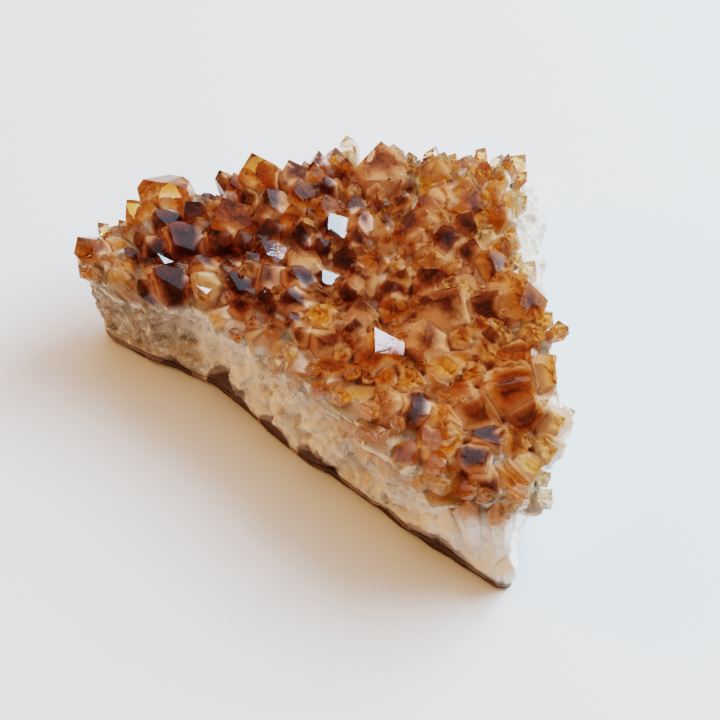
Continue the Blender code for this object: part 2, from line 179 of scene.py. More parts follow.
class QuartzSettings(bpy.types.PropertyGroup):
    """Sizes and colours of the milky quartz."""

    cream: bpy.props.FloatVectorProperty(
        name="Cream", description="Colour of the milky quartz", subtype="COLOR", default=(0.60, 0.49, 0.375)
    )
    white: bpy.props.FloatVectorProperty(
        name="White", description="Colour of its whitest parts", subtype="COLOR", default=(0.88, 0.81, 0.72)
    )
    tan: bpy.props.FloatVectorProperty(
        name="Tan", description="Colour of its stained parts", subtype="COLOR", default=(0.43, 0.33, 0.24)
    )
    amber: bpy.props.FloatVectorProperty(
        name="Amber",
        description="Colour of the stains below the crystals",
        subtype="COLOR",
        default=(0.50, 0.20, 0.055),
    )
    grain: bpy.props.FloatProperty(
        name="Grain", description="Longest edge of the fine mesh", unit="LENGTH", default=0.9 * MM
    )
    relief: bpy.props.FloatProperty(
        name="Relief", description="Depth of the broken relief", unit="LENGTH", default=1.6 * MM
    )


class BasaltSettings(bpy.types.PropertyGroup):
    """Sizes and colours of the basalt skin."""

    rock: bpy.props.FloatVectorProperty(
        name="Rock", description="Dark brown of the basalt", subtype="COLOR", default=(0.145, 0.098, 0.072)
    )
    agate: bpy.props.FloatVectorProperty(
        name="Agate",
        description="Purple-grey of the agate band",
        subtype="COLOR",
        default=(0.225, 0.168, 0.160),
    )
    grain: bpy.props.FloatProperty(
        name="Grain", description="Longest edge of the fine mesh", unit="LENGTH", default=1.0 * MM
    )


class StageSettings(bpy.types.PropertyGroup):
    """The table and the camera."""

    azimuth: bpy.props.FloatProperty(
        name="Azimuth",
        description="Camera's turn from the front",
        subtype="ANGLE",
        default=math.radians(42.5),
    )
    elevation: bpy.props.FloatProperty(
        name="Elevation", description="Camera's height angle", subtype="ANGLE", default=math.radians(48)
    )
    distance: bpy.props.FloatProperty(
        name="Distance", description="Camera to its target", unit="LENGTH", default=0.400
    )
    view_angle: bpy.props.FloatProperty(
        name="View angle", description="Camera's field of view", subtype="ANGLE", default=math.radians(30)
    )
    table: bpy.props.FloatVectorProperty(
        name="Table", description="Colour of the pale floor", subtype="COLOR", default=(0.755, 0.785, 0.80)
    )


# ---- meshes


def unit(value):
    """The value, kept between 0 and 1."""
    return max(0.0, min(1.0, value))


def cad_copy(node):
    """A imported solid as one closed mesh, its loose triangles merged."""
    bm = bmesh.new()
    bm.from_mesh(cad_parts[node].data)
    bmesh.ops.remove_doubles(bm, verts=bm.verts, dist=MERGE)
    return bm


def put(name, data):
    """A new object of this data, in the scene."""
    obj = bpy.data.objects.new(name, data)
    bpy.context.scene.collection.objects.link(obj)
    return obj


def make_piece(name, bm, materials, node):
    """A new object of this mesh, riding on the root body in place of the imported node."""
    mesh = bpy.data.meshes.new(name)
    bm.to_mesh(mesh)
    bm.free()
    for material in materials:
        mesh.materials.append(material)
    piece = put(name, mesh)
    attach(piece, "root")
    if node:
        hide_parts(node)
    return piece


def split_long_edges(bm, longest, wanted, rounds=8):
    """Halves edges until those of the wanted faces are shorter than longest(face)."""
    for _ in range(rounds):
        long = set()
        for face in bm.faces:
            if wanted(face):
                limit = longest(face)
                long.update(edge for edge in face.edges if edge.calc_length() > limit)
        if not long:
            break
        bmesh.ops.subdivide_edges(bm, edges=list(long), cuts=1, use_grid_fill=True)
        bmesh.ops.triangulate(bm, faces=[face for face in bm.faces if len(face.verts) > 3])


def drop_loose(bm):
    """Removes the corners that no face uses."""
    bmesh.ops.delete(bm, geom=[vert for vert in bm.verts if not vert.link_faces], context="VERTS")
    bm.normal_update()


def reached(first, left, across=lambda edge: True):
    """The faces reached from this one over the edges that may be crossed. They are taken out of left."""
    left.remove(first)
    front, found = [first], [first]
    while front:
        for edge in filter(across, front.pop().edges):
            for face in edge.link_faces:
                if face in left:
                    left.remove(face)
                    front.append(face)
                    found.append(face)
    return found


def drop_crumbs(bm):
    """Removes the loose shells of a few faces that a union leaves behind."""
    left = set(bm.faces)
    shells = [reached(first, left) for first in bm.faces if first in left]
    crumbs = [face for shell in shells if len(shell) < SMALLEST_SHELL for face in shell]
    bmesh.ops.delete(bm, geom=crumbs, context="FACES")
    drop_loose(bm)


def write_values(mesh, name, domain, values):
    mesh.attributes.new(name, "FLOAT", domain).data.foreach_set("value", values)


def rough(point, size, seed=0.0):
    """Smooth noise from -1 to 1 with features of about this size."""
    return noise.noise(point / size + Vector((seed, seed * 0.7, -seed)))


def broken(point, size, seed=0.0):
    """Height of a fracture made of flat, tilted facets of about this size, from about -1 to 1."""
    spot = point / size + Vector((seed, -seed, seed * 0.5))
    middle = noise.voronoi(spot)[1][0]
    return (spot - middle).dot(noise.noise_vector(middle * 5.3)) * 3


# ---- what each crystal is


def height_first(co):
    """Orders corners by height, and by place where the heights are equal, so that each run agrees."""
    return co.zxy[:]


class Crystal:
    """One crystal of the bed: its faces, its tip, the middle of its foot, and its character."""

    def __init__(self, faces):
        self.faces = faces
        self.verts = {vert for face in faces for vert in face.verts}
        self.tip = max((vert.co for vert in self.verts), key=height_first).copy()
        self.foot = self.tip.copy()
        self.reach = 1.0
        self.size = 0.0
        self.column = None
        self.nature = CHARACTERS["crust"]


def marked_places():
    tree = KDTree(sum(len(places) for places in MARKED.values()))
    names = []
    for name, places in MARKED.items():
        for x, y in places:
            tree.insert((*bed(x, y).xy, 0), len(names))
            names.append(name)
    tree.balance()
    return tree, names


def region_nature(place, rng):
    """Character of a crystal with no marked place: smoky to the left and in the middle, paler and more
    golden towards the rim and the right end."""
    x, y = (place / MM - BED_ORIGIN).xy
    from_dark = Vector((x + 22, (y - 2) * 1.1)).length
    dark = max(0.15, min(0.95, 1.05 - from_dark / 85)) + rng.uniform(-0.2, 0.2)
    gold = 0.25 + 0.4 * from_dark / 90 + rng.uniform(-0.15, 0.35)
    frost = rng.uniform(0.1, 0.9)
    return unit(dark), unit(gold), frost, 0.0


def is_valley(edge):
    """True where two crystals meet, and along the bed's lower rim."""
    return edge.calc_face_angle_signed(0) < -HOLLOW or is_rim(edge)


def joined_faces(bm):
    """Groups of faces that meet at edges which aren't hollow: each group is one crystal."""
    left = set(bm.faces)
    return [reached(first, left, lambda edge: not is_valley(edge)) for first in bm.faces if first in left]


def is_rim(edge):
    """True along the bed's lower rim."""
    return len(edge.link_faces) == 2 and len({face.normal.z < -0.5 for face in edge.link_faces}) == 2


def line_tree(bm, wanted):
    """Points along every wanted edge, for the distance to the nearest one."""
    points = []
    for edge in bm.edges:
        if wanted(edge):
            one, other = (vert.co for vert in edge.verts)
            steps = max(1, round((other - one).length / (0.5 * MM)))
            points += [one.lerp(other, step / steps) for step in range(steps + 1)]
    tree = KDTree(len(points))
    for index, point in enumerate(points):
        tree.insert(point, index)
    tree.balance()
    return tree


def read_crystals(bm, valleys):
    """The crystals of the bed. Each face keeps the number of its crystal in the layer "crystal"."""
    rng = random.Random(SEEDS["natures"])
    tree, names = marked_places()
    kept = bm.faces.layers.int.get("crystal") or bm.faces.layers.int.new("crystal")
    crystals = []
    for group in joined_faces(bm):
        one = Crystal(group)
        reaches = [valleys.find(vert.co)[2] for vert in one.verts]
        one.reach = max(max(reaches), 1.6 * MM)
        low = sorted((vert.co for vert in one.verts), key=height_first)[: max(3, len(one.verts) // 3)]
        one.foot = sum(low, Vector()) / len(low)
        one.foot.z = min(one.foot.z, one.tip.z - 4 * MM)
        _, index, far = tree.find((*one.tip.xy, 0))
        one.size = sum(face.calc_area() for face in group) / MM / MM
        at_tip = [item for item in COLUMNS if (one.tip - bed(*item[1])).length < 2.5 * MM]
        if at_tip:
            foot, tip, _, kind = at_tip[0]
            one.column = bed(*foot), bed(*tip)
            one.nature = CHARACTERS[kind]
        elif far < MARK_REACH * MM and one.size > LARGE:
            one.nature = CHARACTERS[names[index]]
        elif one.tip.z >= CRUST_HEIGHT * MM and one.size > LARGE:
            one.nature = region_nature(one.tip, rng)
        elif one.size > CHIP:
            dark, gold, frost, fade = region_nature(one.tip, rng)
            low = unit((38.5 - one.tip.z / MM) / 3)
            one.nature = (dark * (0.6 - 0.6 * low), max(0.4, gold), 0.5 + 0.4 * low, 0.1 + 0.5 * low)
        if one.nature != CHARACTERS["crust"]:
            # towards the right end the crystals are made paler and more frosted: partly their own colour,
            # partly painted light for the brighter-lit right side
            along = one.tip.x / MM - BED_ORIGIN.x
            paler = unit(min((along - 5) / 45, (78 - along) / 20))
            dark, gold, frost, fade = one.nature
            one.nature = dark * (1 - 0.2 * paler), gold, min(1.0, frost + 0.25 * paler), fade
        for face in group:
            face[kept] = len(crystals)
        crystals.append(one)
    for one in crystals:
        if one.size <= CHIP:
            beside = {face[kept] for own in one.faces for edge in own.edges for face in edge.link_faces}
            host = max((crystals[number] for number in beside), key=lambda other: other.size)
            one.nature, one.foot, one.reach = host.nature, host.foot, host.reach
    return crystals


def write_natures(mesh, own, rises, rims):
    """Writes what the materials read: each crystal's character, the height over the valleys, and how near
    the bed's rim is."""
    natures = mesh.attributes.new("crystal_nature", "FLOAT_VECTOR", "FACE")
    natures.data.foreach_set("vector", [number for one in own for number in one.nature[:3]])
    write_values(mesh, "crystal_fade", "FACE", [one.nature[3] for one in own])
    write_values(mesh, "crystal_rise", "POINT", rises)
    write_values(mesh, "bed_rim", "POINT", rims)


# ---- the small crystals between the large ones


def small_crystal(bm, place, axis, width, length, rng):
    """A six-sided crystal with a pointed end, as the hull of its corners."""
    turn = axis.to_track_quat("Z", "Y")
    start = rng.uniform(0, math.pi / 3)
    flat = rng.uniform(0.75, 1.0)
    top = Vector((rng.uniform(-0.25, 0.25) * width, rng.uniform(-0.25, 0.25) * width, length))
    beside = Vector((rng.uniform(-0.2, 0.2) * width, rng.uniform(-0.2, 0.2) * width, -0.05 * length))
    points = [top, top + beside]
    for corner in range(6):
        angle = start + corner * math.pi / 3
        side = Vector((math.cos(angle), flat * math.sin(angle), 0)) * width
        shoulder = length - width * rng.uniform(0.75, 1.05) - width * 0.28 * (corner % 2)
        points.append(side * 0.96 + Vector((0, 0, max(shoulder, 0.15 * length))))
        points.append(side * 0.5 - Vector((0, 0, 2.6 * MM)))
    verts = [bm.verts.new(place + turn @ point) for point in points]
    hull = bmesh.ops.convex_hull(bm, input=verts)
    left_out = hull["geom_interior"] + hull["geom_unused"]
    loose = {item for item in left_out if isinstance(item, bmesh.types.BMVert)}
    bmesh.ops.delete(bm, geom=list(loose), context="VERTS")


def column(bm, foot, tip, width, rng):
    """A small crystal between two places in the bed's frame."""
    foot, tip = bed(*foot), bed(*tip)
    small_crystal(bm, foot, (tip - foot).normalized(), width * MM, (tip - foot).length, rng)


def far_from(place, taken, gap):
    return all((place - other).length > gap for other in taken)


def small_crystals(bm, rng):
    """Small crystals in the valleys, over the low crust and along the bed's rim, as one mesh."""
    small = bmesh.new()
    taken = []

    def grow(place, axis, widths, stretches):
        taken.append(place)
        width = rng.uniform(*widths) * MM
        small_crystal(small, place, axis.normalized(), width, width * rng.uniform(*stretches), rng)

    middle = BED_ORIGIN * MM + BED_MIDDLE * MM
    crystals = read_crystals(bm, line_tree(bm, is_valley))
    kept = bm.faces.layers.int["crystal"]
    for face in bm.faces:
        if crystals[face[kept]].tip.z >= CRUST_HEIGHT * MM or face.normal.z <= 0.3:
            continue
        count = max(1, round(face.calc_area() / (CRUST_PATCH * MM * MM)))
        corners = [vert.co for vert in face.verts]
        for _ in range(count * 2):
            weights = [rng.random() ** 1.3 + 0.02 for _ in corners]
            place = sum((co * weight for co, weight in zip(corners, weights)), Vector()) / sum(weights)
            if far_from(place, taken, CRUST_GAP * MM):
                lean = (place - middle).to_2d() * 0.012 / MM
                axis = Vector((lean.x + rng.uniform(-0.3, 0.3), lean.y + rng.uniform(-0.3, 0.3), 1))
                grow(place, axis, (2.2, 3.6), (1.6, 2.7))
    for edge in filter(is_rim, bm.edges):
        side = max((face.normal for face in edge.link_faces), key=lambda normal: normal.z)
        one, other = (vert.co for vert in edge.verts)
        for _ in range(max(1, round((other - one).length / (5 * MM)))):
            place = one.lerp(other, rng.random()) - side * (rng.uniform(1.4, 2.8) * MM)
            if far_from(place, taken, RIM_GAP * MM):
                axis = Vector((side.x * 0.45, side.y * 0.45, 1))
                axis += Vector((rng.uniform(-0.3, 0.3), rng.uniform(-0.3, 0.3), 0))
                grow(place, axis, (2.0, 3.6), (1.1, 1.6))
    for edge in bm.edges:
        if edge.calc_face_angle_signed(0) > DEEP or edge.calc_length() < 2.5 * MM:
            continue
        place = edge.verts[0].co.lerp(edge.verts[1].co, rng.uniform(0.3, 0.7))
        if rng.random() < VALLEY_SHARE and far_from(place, taken, VALLEY_GAP * MM):
            axis = (edge.link_faces[0].normal + edge.link_faces[1].normal).normalized() + Vector((0, 0, 0.8))
            grow(place, axis, (0.9, 1.9), (1.4, 2.4))
    for foot, tip, width, _ in COLUMNS:
        column(small, foot, tip, width, rng)
    return small


def united(bm, other):
    """The union of two closed meshes."""
    pair = []
    for part in (bm, other):
        mesh = bpy.data.meshes.new("growing")
        part.to_mesh(mesh)
        part.free()
        pair.append(put("growing", mesh))
    union = pair[0].modifiers.new("union", "BOOLEAN")
    union.operation = "UNION"
    union.solver = "EXACT"
    union.use_self = True
    union.object = pair[1]
    grown = bmesh.new()
    grown.from_object(pair[0], bpy.context.evaluated_depsgraph_get())
    for obj in pair:
        mesh = obj.data
        bpy.data.objects.remove(obj)
        bpy.data.meshes.remove(mesh)
    return grown


# ---- node helpers

COLOUR, SHARE = "NodeSocketColor", "NodeSocketFloat"


def plug(tree, inputs, values):
    """Gives each input, by its name or number, a value or a link from a socket."""
    for key, value in values.items():
        socket = inputs[key]
        if isinstance(value, bpy.types.NodeSocket):
            tree.links.new(value, socket)
        elif socket.type == "RGBA" and len(value) == 3:
            socket.default_value = (*value, 1.0)
        else:
            socket.default_value = value


def add(tree, kind, values=None, **settings):
    """A new node with these settings, and these values or links at its inputs."""
    node = tree.nodes.new(kind)
    for key, value in settings.items():
        setattr(node, key, value)
    plug(tree, node.inputs, values or {})
    return node


def maths(tree, operation, a, b=0.0):
    return add(tree, "ShaderNodeMath", {0: a, 1: b}, operation=operation).outputs[0]


def plus(tree, a, b):
    return maths(tree, "ADD", a, b)


def minus(tree, a, b):
    return maths(tree, "SUBTRACT", a, b)


def times(tree, a, b):
    return maths(tree, "MULTIPLY", a, b)


def vectors(tree, operation, a, b=(0, 0, 0)):
    node = add(tree, "ShaderNodeVectorMath", {0: a, 1: b}, operation=operation)
    return node.outputs["Value" if operation == "DOT_PRODUCT" else "Vector"]


def mix(tree, factor, a, b, blend="MIX"):
    values = {0: factor, 6: a, 7: b}
    node = add(tree, "ShaderNodeMix", data_type="RGBA", blend_type=blend, clamp_factor=True)
    plug(tree, node.inputs, values)
    return node.outputs[2]


def dimmed(tree, colour, by):
    """A colour multiplied by another."""
    return mix(tree, 1.0, colour, by, "MULTIPLY")


def spread(tree, value, low, high, to_low=0.0, to_high=1.0):
    """Smoothly maps low..high to to_low..to_high."""
    node = add(
        tree,
        "ShaderNodeMapRange",
        {"Value": value, "From Min": low, "From Max": high, "To Min": to_low, "To Max": to_high},
        interpolation_type="SMOOTHSTEP",
    )
    return node.outputs["Result"]


def noise_at(tree, vector, size, detail=3.0, roughness=0.55, distortion=0.0):
    """Noise with features of about this size, in metres."""
    values = {"Vector": vector, "Scale": 1 / size, "Detail": detail, "Roughness": roughness}
    values["Distortion"] = distortion
    return add(tree, "ShaderNodeTexNoise", values).outputs["Fac"]


def cells_at(tree, vector, size, **settings):
    """Cells of about this size, in metres."""
    return add(tree, "ShaderNodeTexVoronoi", {"Vector": vector, "Scale": 1 / size}, **settings).outputs


def attribute(tree, name, output="Fac"):
    return add(tree, "ShaderNodeAttribute", attribute_name=name).outputs[output]


def object_place(tree):
    return tree.nodes.new("ShaderNodeTexCoord").outputs["Object"]


def axes_of(tree, vector):
    return add(tree, "ShaderNodeSeparateXYZ", {0: vector}).outputs


def bumped(tree, shader, height, strength, depth):
    values = {"Strength": strength, "Distance": depth, "Height": height}
    bump = add(tree, "ShaderNodeBump", values)
    tree.links.new(bump.outputs["Normal"], shader.inputs["Normal"])


def group_of(name, inputs, outputs):
    """An empty shader node group with these sockets, as {name: type}."""
    tree = bpy.data.node_groups.new(name, "ShaderNodeTree")
    for direction, sockets in (("INPUT", inputs), ("OUTPUT", outputs)):
        for label, kind in sockets.items():
            tree.interface.new_socket(name=label, in_out=direction, socket_type=kind)
    return tree, tree.nodes.new("NodeGroupInput").outputs, tree.nodes.new("NodeGroupOutput").inputs


def placed(tree, group, inputs):
    return add(tree, "ShaderNodeGroup", inputs, node_tree=group).outputs


def new_material(name):
    material = bpy.data.materials.new(name)
    material.use_nodes = True
    return material, material.node_tree, material.node_tree.nodes["Principled BSDF"]


# ---- shared groups


def crystal_colour_group():
    """Colour of citrine from where it lies along its crystal: smoky tip, amber body, peach base, with painted
    shade darkening the valleys where crystals meet.
    """
    tree, given, out = group_of(
        "citrine colour",
        {"Tip": COLOUR, "Body": COLOUR, "Gold": COLOUR, "Base": COLOUR},
        {"Colour": COLOUR, "Frost": SHARE, "Rim": SHARE},
    )
    place = object_place(tree)
    nature = attribute(tree, "crystal_nature", "Vector")
    fade = attribute(tree, "crystal_fade")
    rise = attribute(tree, "crystal_rise")
    # painted shade: how much the colour is darkened along the valleys where crystals meet
    valley_shade = spread(tree, rise, 0.0, 0.13, 0.42, 0.0)
    parts = axes_of(tree, nature)
    dark, gold, frost = parts["X"], parts["Y"], parts["Z"]
    cloud = noise_at(tree, place, 4.5 * MM, detail=4)
    fibre = noise_at(tree, vectors(tree, "MULTIPLY", place, (1, 1, 0.22)), 0.9 * MM, detail=3)
    wander = plus(tree, times(tree, cloud, 0.24), times(tree, fibre, 0.22))
    rise = plus(tree, rise, minus(tree, wander, 0.23))
    facet = attribute(tree, "facet_tone")
    rise = plus(tree, rise, times(tree, facet, 0.11))
    tip_start = minus(tree, 0.8, times(tree, dark, 0.6))
    tip_share = spread(tree, minus(tree, rise, tip_start), -0.12, 0.6)
    tip_share = times(tree, tip_share, spread(tree, dark, 0.0, 0.7))
    amber = mix(tree, gold, given["Body"], given["Gold"])
    base_end = plus(tree, times(tree, frost, 0.72), 0.3)
    base_share = spread(tree, maths(tree, "DIVIDE", rise, base_end), 0.05, 1.2, 1.0, 0.0)
    colour = mix(tree, base_share, amber, given["Base"])
    colour = mix(tree, tip_share, colour, given["Tip"])
    # painted shade in the valleys between crystals
    colour = mix(tree, valley_shade, colour, dimmed(tree, colour, (0.50, 0.34, 0.24)))
    colour = mix(tree, fade, colour, (0.95, 0.88, 0.76))
    rim = attribute(tree, "bed_rim")
    rim = spread(tree, plus(tree, rim, times(tree, wander, 1.4)), 0.62, 1.2)
    colour = mix(tree, rim, colour, (0.97, 0.93, 0.86))
    share = plus(tree, times(tree, frost, 0.6), 0.4)
    frosted = maths(tree, "MAXIMUM", rim, times(tree, base_share, share))
    plug(tree, out, {"Colour": colour, "Rim": rim, "Frost": frosted})
    return tree


def tints(s, tip, body, gold, base):
    """The colours of the crystals, each to a power: what the skin or what the milk gives of the whole."""
    given = {"Tip": (s.tip, tip), "Body": (s.body, body), "Gold": (s.gold, gold), "Base": (s.base, base)}
    return {name: tuple(channel**power for channel in colour) for name, (colour, power) in given.items()}


def citrine_material(s, colours):
    """Clear crystal: plain transmission, refraction and absorption, tinted along each crystal."""
    material, tree, shader = new_material("citrine")
    given = placed(tree, colours, tints(s, 0.8, 0.75, 0.75, 0.4))
    worn_and_highlit = attribute(tree, "worn_and_highlit")
    place = object_place(tree)
    # wear and painted highlight: the bevels get a paler cream colour, partly the frosting of wear, partly the
    # bright lines that light draws along edges
    edge = times(tree, worn_and_highlit, 0.9)
    colour = mix(tree, edge, given["Colour"], (1.0, 0.90, 0.78))
    sugar = noise_at(tree, place, 0.7 * MM, detail=4, roughness=0.65)
    patch = noise_at(tree, place, 6 * MM, detail=2)
    frosting = times(tree, given["Frost"], spread(tree, patch, 0.25, 0.55, 0.35, 1.0))
    roughness = plus(tree, times(tree, frosting, 0.22), 0.03)
    roughness = plus(tree, times(tree, worn_and_highlit, 0.2), roughness)
    clear = {"Base Color": colour, "Roughness": roughness, "IOR": QUARTZ_IOR, "Transmission Weight": 1.0}
    plug(tree, shader.inputs, clear)
    ripple = noise_at(tree, vectors(tree, "MULTIPLY", place, (1, 1, 2.2)), 2.4 * MM, detail=2)
    height = plus(tree, times(tree, sugar, frosting), times(tree, ripple, 0.3))
    bumped(tree, shader, height, 0.28, 0.3 * MM)
    absorb = add(tree, "ShaderNodeVolumeAbsorption", {"Color": (1.0, 0.70, 0.36), "Density": 28.0})
    output = tree.nodes["Material Output"]
    tree.links.new(absorb.outputs["Volume"], output.inputs["Volume"])
    return material


def milk_material(s, q, colours):
    """Milky quartz that reaches up into the crystals and takes their colour."""
    material, tree, shader = new_material("quartz_milk")
    given = placed(tree, colours, tints(s, 0.55, 0.6, 0.6, 1.0))
    place = object_place(tree)
    fibre = noise_at(tree, vectors(tree, "MULTIPLY", place, (1, 1, 0.18)), 0.7 * MM, detail=4, roughness=0.7)
    veil = noise_at(tree, place, 3 * MM, detail=4, roughness=0.6, distortion=1.2)
    veil = maths(tree, "ABSOLUTE", minus(tree, veil, 0.5))
    white = spread(tree, veil, 0.0, 0.035, 0.5, 0.0)
    white = plus(tree, white, times(tree, spread(tree, fibre, 0.45, 0.75), 0.5))
    shade = times(tree, spread(tree, fibre, 0.5, 0.25), 0.45)
    colour = mix(tree, times(tree, white, 0.8), given["Colour"], (0.94, 0.68, 0.44))
    dim = dimmed(tree, given["Colour"], given["Colour"])
    colour = mix(tree, shade, colour, dim)
    fractured = mix(tree, spread(tree, fibre, 0.35, 0.65), q.cream, q.white)
    colour = mix(tree, given["Rim"], colour, fractured)
    plug(tree, shader.inputs, {"Base Color": colour, "Roughness": 0.6})
    height = noise_at(tree, place, 0.5 * MM, detail=4, roughness=0.7)
    bumped(tree, shader, height, 0.5, 0.4 * MM)
    return material


def rind_colour_group():
    """Lays the dark basalt and the purple-grey agate band above it over the quartz, from the height over
    the basalt's own top."""
    tree, given, out = group_of(
        "rind colour",
        {"Quartz": COLOUR, "Rock": COLOUR, "Agate": COLOUR},
        {"Colour": COLOUR, "Rind": SHARE},
    )
    place = object_place(tree)
    over = attribute(tree, "over_basalt")
    wander = minus(tree, noise_at(tree, place, 3 * MM, detail=3), 0.5)
    fine = minus(tree, noise_at(tree, place, 0.9 * MM, detail=3), 0.5)
    over = plus(tree, over, times(tree, wander, 1.1))
    over = plus(tree, over, times(tree, fine, 0.5))
    basalt = spread(tree, over, -0.12, 0.12, 1.0, 0.0)
    rind = spread(tree, over, 1.7, 3.2, 1.0, 0.0)
    grit = noise_at(tree, place, 0.6 * MM, detail=5, roughness=0.75)
    dim = dimmed(tree, given["Rock"], (0.45, 0.42, 0.40))
    rock = mix(tree, spread(tree, grit, 0.35, 0.7), dim, given["Rock"])
    pale = mix(tree, 0.2, given["Agate"], given["Quartz"])
    agate = mix(tree, spread(tree, plus(tree, over, times(tree, grit, 0.8)), 0.3, 1.6), given["Agate"], pale)
    colour = mix(tree, rind, given["Quartz"], agate)
    colour = mix(tree, basalt, colour, rock)
    plug(tree, out, {"Colour": colour, "Rind": rind})
    return tree


def quartz_colour_group():
    """Broken milky quartz: cream and white clouds, tan and amber stains, cracks and dark specks, and small
    white patches that are partly painted glints.
    """
    tree, given, out = group_of(
        "quartz colour",
        {"Cream": COLOUR, "White": COLOUR, "Tan": COLOUR, "Amber": COLOUR},
        {"Colour": COLOUR, "Fine": SHARE},
    )
    place = object_place(tree)
    inbed = vectors(tree, "MULTIPLY", vectors(tree, "SUBTRACT", place, tuple(BED_ORIGIN * MM)), (1 / MM,) * 3)
    parts = axes_of(tree, inbed)
    x, y, z = parts["X"], parts["Y"], parts["Z"]
    cloud = noise_at(tree, place, 16 * MM, detail=5, roughness=0.6)
    fine = noise_at(tree, place, 2.2 * MM, detail=5, roughness=0.7)
    sugar = noise_at(tree, place, 0.55 * MM, detail=3, roughness=0.7)
    swing = times(tree, minus(tree, cloud, 0.5), 30)
    along = plus(tree, x, swing)

    colour = mix(tree, spread(tree, cloud, 0.36, 0.64), given["Cream"], given["White"])
    left_white = times(tree, spread(tree, along, -36, -24), spread(tree, along, -12, 6, 1.0, 0.4))
    whiter = plus(tree, spread(tree, along, 42, 74), times(tree, left_white, 0.8))
    whiter = times(tree, whiter, spread(tree, fine, 0.3, 0.6, 0.5, 1.0))
    pure = mix(tree, 0.6, given["White"], (1.0, 0.98, 0.95))
    colour = mix(tree, whiter, colour, pure)
    slope = plus(tree, plus(tree, x, times(tree, z, 0.35)), times(tree, swing, 0.25))
    left = spread(tree, slope, -32, -24, 1.0, 0.0)
    upright = vectors(tree, "MULTIPLY", place, (1.0, 1.0, 0.45))
    streaks = noise_at(tree, upright, 2.0 * MM, detail=5, roughness=0.65)
    darker = dimmed(tree, given["Tan"], (0.62, 0.60, 0.58))
    tan = mix(tree, spread(tree, streaks, 0.35, 0.65), darker, given["Tan"])
    colour = mix(tree, times(tree, left, 0.85), colour, tan)
    stained = noise_at(tree, place, 5 * MM, detail=6, roughness=0.65)
    stained = minus(tree, stained, times(tree, whiter, 0.1))
    colour = mix(tree, spread(tree, stained, 0.48, 0.68, 0.0, 0.8), colour, given["Tan"])
    colour = mix(tree, spread(tree, fine, 0.42, 0.72, 0.0, 0.6), colour, given["Tan"])
    # white patches, partly the quartz's own white and partly painted glints
    bright = noise_at(tree, place, 3 * MM, detail=6, roughness=0.75)
    colour = mix(tree, spread(tree, bright, 0.5, 0.64, 0.0, 0.75), colour, pure)
    # fine white grains, partly the sugary quartz and partly painted glints
    colour = mix(tree, spread(tree, sugar, 0.5, 0.7, 0.0, 0.35), colour, given["White"])

    near_top = spread(tree, plus(tree, z, times(tree, swing, 0.6)), 17, 29)
    amber = plus(tree, spread(tree, along, 12, 34), spread(tree, along, 56, 66, 0.0, -0.75))
    amber = plus(tree, times(tree, amber, 0.72), 0.15)
    stain = times(tree, near_top, times(tree, amber, spread(tree, fine, 0.3, 0.6, 0.3, 1.0)))
    colour = mix(tree, stain, colour, given["Amber"])
    behind = times(tree, spread(tree, y, 8, 20), spread(tree, cloud, 0.5, 0.68, 0.0, 0.45))
    colour = mix(tree, behind, colour, dimmed(tree, given["Amber"], (0.8, 0.8, 0.8)))

    cracks = cells_at(tree, place, 19 * MM, feature="DISTANCE_TO_EDGE")["Distance"]
    crack = times(tree, spread(tree, cracks, 0.0, 0.012, 1.0, 0.0), spread(tree, fine, 0.45, 0.6))
    colour = mix(tree, times(tree, crack, 0.6), colour, (0.16, 0.09, 0.05))
    spots = cells_at(tree, place, 8 * MM)["Distance"]
    jagged = plus(tree, spots, times(tree, minus(tree, sugar, 0.5), 0.09))
    speck = spread(tree, jagged, 0.035, 0.06, 1.0, 0.0)
    colour = mix(tree, speck, colour, (0.04, 0.02, 0.015))

    plug(tree, out, {"Colour": colour, "Fine": fine})
    return tree


def rind_over(tree, quartz, b):
    rocks = {"Quartz": quartz, "Rock": b.rock, "Agate": b.agate}
    return placed(tree, shared("rind colour", rind_colour_group), rocks)


def quartz_colours(tree, q):
    stains = {"Cream": q.cream, "White": q.white, "Tan": q.tan, "Amber": q.amber}
    return placed(tree, shared("quartz colour", quartz_colour_group), stains)


def quartz_material(q, b):
    """Milky quartz, with the rind's colours along its foot."""
    material, tree, shader = new_material("milky_quartz")
    place = object_place(tree)
    quartz = quartz_colours(tree, q)
    fine = quartz["Fine"]
    milky = attribute(tree, "milky_column")
    height = plus(tree, axes_of(tree, place)["Z"], times(tree, fine, 8 * MM))
    whitened = tuple(0.2 + 0.8 * channel for channel in q.white)
    clear = mix(tree, spread(tree, height, 26 * MM, 36 * MM), whitened, q.amber)
    colour = mix(tree, times(tree, milky, 0.8), quartz["Colour"], clear)
    rind = rind_over(tree, colour, b)
    rough_all = plus(tree, spread(tree, fine, 0.35, 0.7, 0.12, 0.5), times(tree, rind["Rind"], 0.4))
    rough_all = times(tree, rough_all, minus(tree, 1.0, times(tree, milky, 0.7)))
    stone = {"Base Color": rind["Colour"], "Roughness": rough_all, "IOR": QUARTZ_IOR}
    stone |= {"Subsurface Weight": 0.3, "Subsurface Radius": (1.0, 0.7, 0.45)}
    plug(tree, shader.inputs, stone | {"Subsurface Scale": 2.0 * MM})
    grain = noise_at(tree, place, 0.9 * MM, detail=5, roughness=0.75)
    chips = cells_at(tree, place, 1.6 * MM)
    tilt = times(tree, add(tree, "ShaderNodeSeparateColor", {0: chips["Color"]}).outputs[0], 0.5)
    height = plus(tree, grain, times(tree, chips["Distance"], tilt))
    bumped(tree, shader, height, 0.75, 0.5 * MM)
    return material


